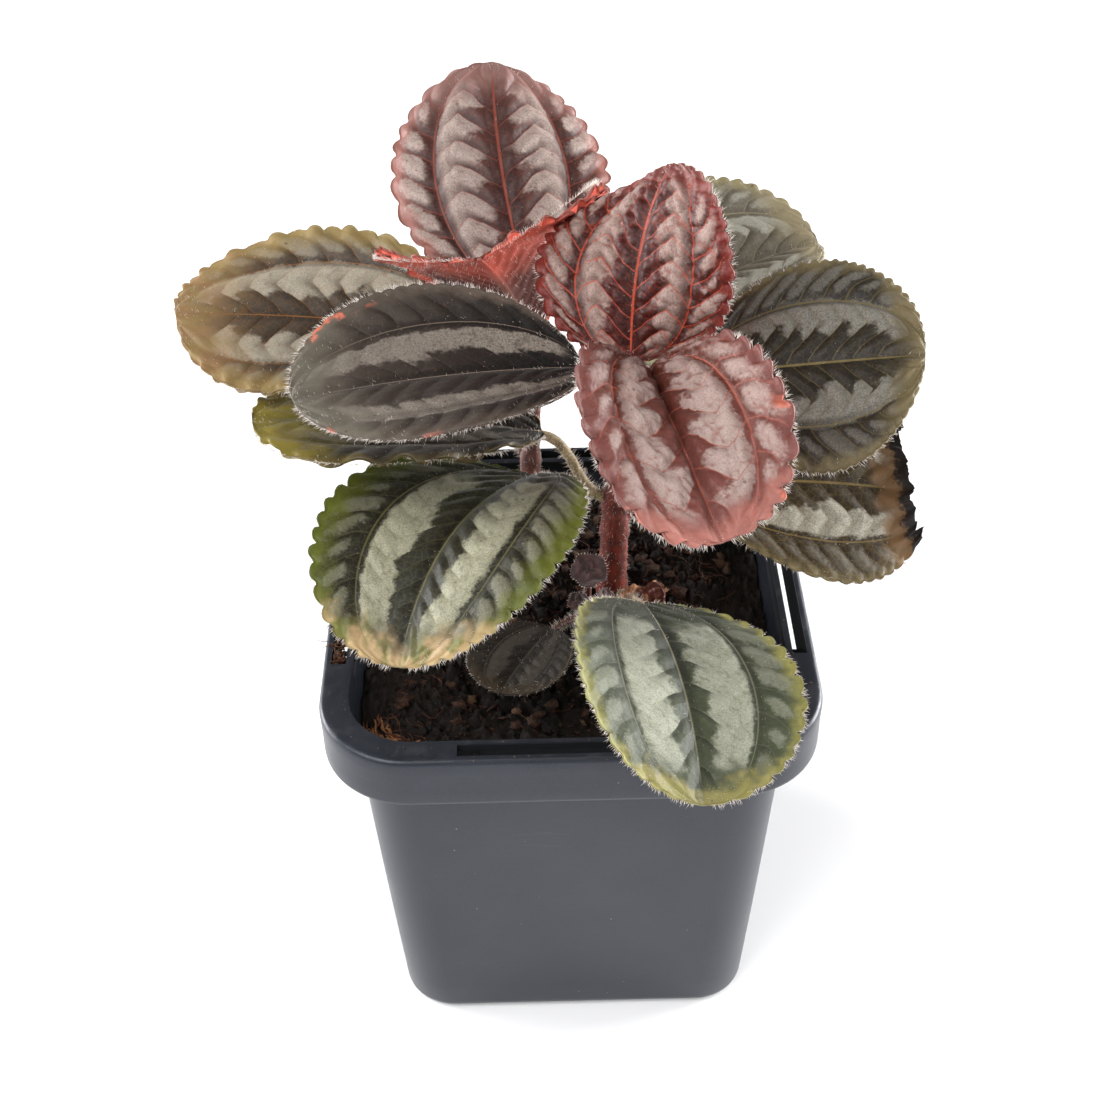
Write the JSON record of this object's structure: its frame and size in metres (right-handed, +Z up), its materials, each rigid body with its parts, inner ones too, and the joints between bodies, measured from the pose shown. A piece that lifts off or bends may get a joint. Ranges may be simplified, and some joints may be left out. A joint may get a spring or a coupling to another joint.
{
  "type": "potted pilea",
  "caption": "Bushy houseplant with quilted, toothed, silver-banded leaves on reddish stems, growing in soil in a square nursery pot with a folded rim.",
  "frame": {"origin": "centre of the pot's underside, where it stands", "axes": "+Z up along the pot's axis; the pictured side faces -Y, and +X is to its right"},
  "size_m": [0.1358, 0.122, 0.1723],
  "materials": {
    "pot_plastic": "satin injection-moulded plastic",
    "soil": "crumbly, damp",
    "stem": "satin, hairy",
    "shoot": "satin",
    "leaf_back_crown": "satin, quilted, silver bands",
    "leaf_back_cupped": "satin, quilted, silver bands",
    "leaf_front_crown": "satin, quilted, silver bands",
    "leaf_front_arching": "satin, quilted, silver bands",
    "leaf_left_upper": "satin, quilted, silver bands",
    "leaf_left_back": "satin, quilted, silver bands",
    "leaf_right_back": "satin, quilted, silver bands",
    "leaf_right_upper": "satin, quilted, silver bands",
    "leaf_right_lower": "satin, quilted, silver bands",
    "leaf_left_lower": "satin, quilted, silver bands",
    "leaf_left_front": "satin, quilted, silver bands",
    "leaf_rim_front": "satin, quilted, silver bands",
    "leaf_soil_small": "satin, quilted, silver bands",
    "leaf_behind_left": "satin, quilted, silver bands",
    "leaf_behind_right": "satin, quilted, silver bands"
  },
  "bodies": {
    "root": {"pot": "pot_plastic", "soil": "soil", "stem_front": "stem", "stem_back": "stem", "basal_shoot": "shoot", "leaf_back_crown": "leaf_back_crown", "leaf_back_cupped": "leaf_back_cupped", "leaf_front_crown": "leaf_front_crown", "leaf_front_arching": "leaf_front_arching", "leaf_left_upper": "leaf_left_upper", "leaf_left_back": "leaf_left_back", "leaf_right_back": "leaf_right_back", "leaf_right_upper": "leaf_right_upper", "leaf_right_lower": "leaf_right_lower", "leaf_left_lower": "leaf_left_lower", "leaf_left_front": "leaf_left_front", "leaf_rim_front": "leaf_rim_front", "leaf_soil_small": "leaf_soil_small", "leaf_behind_left": "leaf_behind_left", "leaf_behind_right": "leaf_behind_right"}
  },
  "joints": []
}
